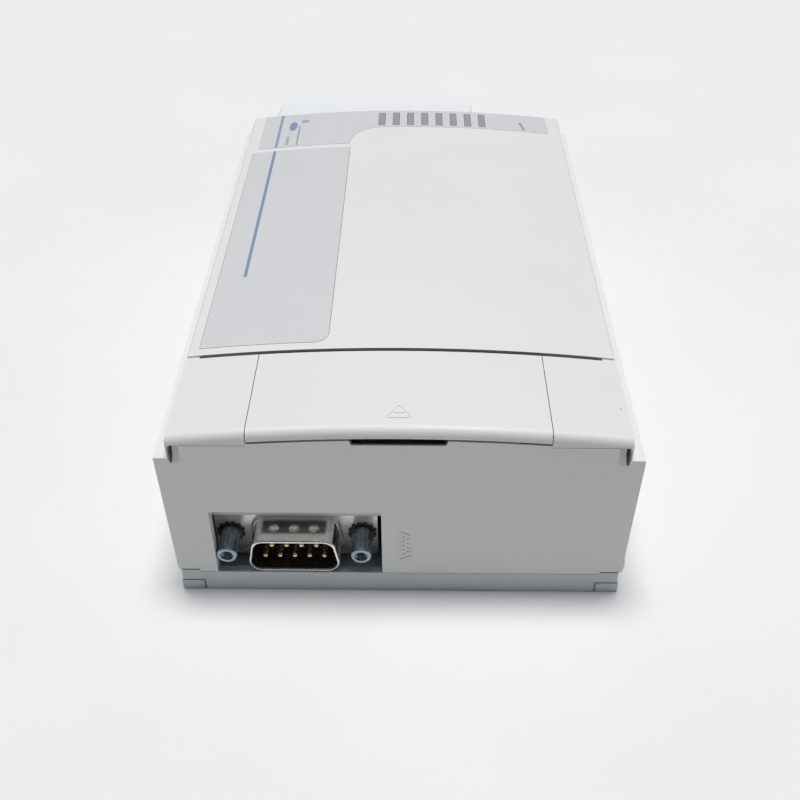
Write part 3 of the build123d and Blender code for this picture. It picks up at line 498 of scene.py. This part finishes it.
def refine(item, radius=0.0):
    """Joins a CAD mesh's faces and shades them smooth. Given a radius, also breaks sharp edges."""
    weld = item.modifiers.new("Weld", "WELD")
    weld.merge_threshold = WELD_DISTANCE
    if radius:
        flat = item.modifiers.new("Flatten", "DECIMATE")
        flat.decimate_type = "DISSOLVE"
        flat.angle_limit = FLAT_ANGLE
        bevel = item.modifiers.new("Break_edges", "BEVEL")
        bevel.width = radius
        bevel.segments = 2
        bevel.limit_method = "ANGLE"
        bevel.angle_limit = SHARP_ANGLE
        bevel.use_clamp_overlap = False
    smooth = item.modifiers.new("Smooth", "NODES")
    smooth.node_group = SMOOTH_GROUP
    weighted = item.modifiers.new("Weighted", "WEIGHTED_NORMAL")
    weighted.keep_sharp = True


def refine_nodes():
    """Refines every CAD node."""
    for name, item in NODES.items():
        refine(item, BROKEN_EDGES.get(name, 0.0))


# Added detail

# A jack post's bare barrel, and how far inside it the thread starts.
BARREL_RADIUS = 1.92 * MM
THREAD_START = 0.25 * MM

# The scale bars stand on the tray's floor, with their feet sunk into it.
TRAY_FLOOR = 25.2 * MM
SCALE_FLOOR = TRAY_FLOOR - 0.02 * MM
SCALE_HEIGHT = 0.14 * MM

# A trimmer's dial, in degrees and in millimetres from its centre. Every fifth mark is long.
DIAL_MARKS = 11
DIAL_FIRST = -45
DIAL_STEP = 27
DIAL_INNER = 2.8
DIAL_LONG = 3.75
DIAL_SHORT = 3.4
DIAL_WIDTH = 0.2 * MM

# The mode switch's marks: the lever's three places in millimetres, and each bar's gap and end.
SWITCH_PLACES = (-2.5, 0.0, 2.5)
SWITCH_GAP = 0.3 * MM
SWITCH_END = 1.3 * MM
SWITCH_WIDTH = 0.25 * MM


def add_piece(name, mesh, finish, body):
    """Turns a finished mesh into a piece that rides on a CAD body."""
    bmesh.ops.recalc_face_normals(mesh, faces=mesh.faces)
    data = bpy.data.meshes.new(name)
    mesh.to_mesh(data)
    mesh.free()
    data.materials.append(finish.material)
    piece = bpy.data.objects.new(name, data)
    bpy.context.scene.collection.objects.link(piece)
    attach(piece, body)
    return piece


def add_thread(mesh, centre_x, centre_z, start):
    """A fine internal thread: one closed ridge that winds along a jack post's bore."""
    pitch = 0.44 * MM
    bore = 1.21 * MM
    crest = 1.03 * MM
    steps = 28
    turns = 7
    # The ridge's outline: how far each corner is from the axis, and how far along it.
    section = ((bore, 0.0), (crest, pitch * 0.36), (crest, pitch * 0.5), (bore, pitch * 0.86))
    rows = []
    for step in range(steps * turns + 1):
        angle = 2 * math.pi * step / steps
        along = start + pitch * step / steps
        row = []
        for radius, rise in section:
            x = centre_x + radius * math.cos(angle)
            z = centre_z + radius * math.sin(angle)
            row.append(mesh.verts.new((x, along + rise, z)))
        rows.append(row)
    for first, second in zip(rows, rows[1:]):
        for index in range(len(section)):
            following = (index + 1) % len(section)
            mesh.faces.new((first[index], first[following], second[following], second[index]))
    mesh.faces.new(rows[0])
    mesh.faces.new(rows[-1])


def jack_threads():
    """The threads inside both jack posts."""
    low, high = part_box("jack_posts")
    mesh = bmesh.new()
    centre_z = (low.z + high.z) / 2
    for centre_x in (low.x + BARREL_RADIUS, high.x - BARREL_RADIUS):
        add_thread(mesh, centre_x, centre_z, low.y + THREAD_START)
    piece = add_piece("jack_threads", mesh, POST_STEEL, "module")
    piece.modifiers.new("Smooth", "NODES").node_group = SMOOTH_GROUP


def add_bar(mesh, start, end, width, floor, height):
    """A slim raised bar with chamfered top edges between two places of the plan."""
    ahead = (Vector(end) - Vector(start)).normalized()
    aside = Vector((-ahead.y, ahead.x)) * width / 2
    rings = []
    for level, inset in ((floor, 0.0), (floor + height * 0.6, 0.0), (floor + height, 0.25)):
        pull = ahead * width * inset
        side = aside * (1.0 - inset)
        corners = (
            Vector(start) + pull + side,
            Vector(start) + pull - side,
            Vector(end) - pull - side,
            Vector(end) - pull + side,
        )
        rings.append([mesh.verts.new((spot.x, spot.y, level)) for spot in corners])
    for lower, upper in zip(rings, rings[1:]):
        for index in range(4):
            following = (index + 1) % 4
            mesh.faces.new((lower[index], lower[following], upper[following], upper[index]))
    mesh.faces.new(rings[0][::-1])
    mesh.faces.new(rings[-1])


def control_scales():
    """Raised scale bars round each trimmer, and three beside the mode switch."""
    mesh = bmesh.new()
    for name in ("trim_pot_rotor_1", "trim_pot_rotor_2"):
        low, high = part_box(name)
        centre = Vector(((low.x + high.x) / 2, (low.y + high.y) / 2))
        for mark in range(DIAL_MARKS):
            angle = math.radians(DIAL_FIRST + DIAL_STEP * mark)
            ray = Vector((math.cos(angle), math.sin(angle)))
            reach = DIAL_LONG if mark % 5 == 0 else DIAL_SHORT
            start = centre + ray * DIAL_INNER * MM
            end = centre + ray * reach * MM
            add_bar(mesh, start, end, DIAL_WIDTH, SCALE_FLOOR, SCALE_HEIGHT)
    low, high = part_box("mode_switch_lever")
    centre_y = (low.y + high.y) / 2
    for place in SWITCH_PLACES:
        along = centre_y + place * MM
        start = (high.x + SWITCH_GAP, along)
        end = (high.x + SWITCH_END, along)
        add_bar(mesh, start, end, SWITCH_WIDTH, SCALE_FLOOR, SCALE_HEIGHT)
    print_white = moulded_plastic("Scale_white", (0.75, 0.75, 0.73), 0.4, 0.3 * MM)
    add_piece("control_scales", mesh, print_white, "module")


# Stage

CAMERA_PLACE = Vector((2.54 * MM, -190.96 * MM, 151.89 * MM))
CAMERA_PITCH = math.radians(40.27)
CAMERA_YAW = math.radians(-1.045)
CAMERA_ROLL = math.radians(-0.342)
CAMERA_LENS = 45.17
CAMERA_SENSOR = 36.0

# The table lies just under the base, so that the two surfaces don't share a plane.
TABLE_LEVEL = -0.02 * MM
TABLE_REACH = 3.0

LIGHT_PLACE = (0.06, 0.24, 3.6)
LIGHT_TARGET = (0.0, 0.0, 0.0)
LIGHT_SIZE = (1.64, 0.98)
LIGHT_POWER = 131.0
FILL_COLOUR = (0.66, 0.84, 1.0)
FILL_STRENGTH = 0.1
WALL_COLOUR = (0.84, 0.85, 0.86)


def camera_turn():
    """The camera's rotation from its pitch below the horizon, yaw and roll."""
    flat = Vector((math.sin(CAMERA_YAW), math.cos(CAMERA_YAW), 0.0))
    ahead = flat * math.cos(CAMERA_PITCH) - Vector((0.0, 0.0, math.sin(CAMERA_PITCH)))
    level = Vector((math.cos(CAMERA_YAW), -math.sin(CAMERA_YAW), 0.0))
    above = level.cross(ahead)
    right = level * math.cos(CAMERA_ROLL) + above * math.sin(CAMERA_ROLL)
    up = above * math.cos(CAMERA_ROLL) - level * math.sin(CAMERA_ROLL)
    return Matrix((right, up, -ahead)).transposed().to_4x4()


def make_camera():
    """The camera in front of the module and above it."""
    data = bpy.data.cameras.new("Camera")
    data.lens = CAMERA_LENS
    data.sensor_width = CAMERA_SENSOR
    data.clip_start = 0.01
    data.clip_end = 50.0
    camera = bpy.data.objects.new("Camera", data)
    camera.matrix_world = Matrix.Translation(CAMERA_PLACE) @ camera_turn()
    bpy.context.scene.collection.objects.link(camera)
    bpy.context.scene.camera = camera


def make_floor():
    """A wide pale table top under the module."""
    mesh = bmesh.new()
    corners = ((-1, -1), (1, -1), (1, 1), (-1, 1))
    mesh.faces.new([mesh.verts.new((x * TABLE_REACH, y * TABLE_REACH, TABLE_LEVEL)) for x, y in corners])
    data = bpy.data.meshes.new("Table_top")
    mesh.to_mesh(data)
    mesh.free()
    floor = bpy.data.objects.new("Table_top", data)
    bpy.context.scene.collection.objects.link(floor)
    made = Finish("Table_white", 0.9)
    made.set("Specular IOR Level", 0.1)
    tone = made.remap(made.noise(60 * MM, 2.0), 0.3, 0.7)
    made.set("Base Color", made.mix(tone, (0.80, 0.79, 0.79), (0.82, 0.81, 0.81)))
    data.materials.append(made.material)


def area_light(name, place, target, size, power):
    """An oval light that faces its target."""
    data = bpy.data.lights.new(name, "AREA")
    data.shape = "ELLIPSE"
    data.size = size[0]
    data.size_y = size[1]
    data.energy = power
    lamp = bpy.data.objects.new(name, data)
    lamp.location = place
    aim = Vector(target) - Vector(place)
    lamp.rotation_mode = "QUATERNION"
    lamp.rotation_quaternion = aim.to_track_quat("-Z", "Y")
    bpy.context.scene.collection.objects.link(lamp)


def light_stage():
    """A wide soft light high over the module, a faint even fill, and a pale wall behind it all."""
    world = bpy.data.worlds.new("Studio")
    bpy.context.scene.world = world
    world.use_nodes = True
    tree = world.node_tree
    fill = tree.nodes["Background"]
    fill.inputs["Color"].default_value = rgba(FILL_COLOUR)
    fill.inputs["Strength"].default_value = FILL_STRENGTH
    wall = tree.nodes.new("ShaderNodeBackground")
    wall.inputs["Color"].default_value = rgba(WALL_COLOUR)
    seen = tree.nodes.new("ShaderNodeLightPath")
    choice = tree.nodes.new("ShaderNodeMixShader")
    tree.links.new(seen.outputs["Is Camera Ray"], choice.inputs[0])
    tree.links.new(fill.outputs[0], choice.inputs[1])
    tree.links.new(wall.outputs[0], choice.inputs[2])
    tree.links.new(choice.outputs[0], tree.nodes["World Output"].inputs["Surface"])
    area_light("Overhead", LIGHT_PLACE, LIGHT_TARGET, LIGHT_SIZE, LIGHT_POWER)


def stage():
    """The camera, the table, the lights and plain colour handling."""
    scene = bpy.context.scene
    scene.view_settings.view_transform = "Standard"
    scene.view_settings.look = "None"
    make_camera()
    make_floor()
    light_stage()


finish_nodes()
refine_nodes()
jack_threads()
control_scales()
stage()
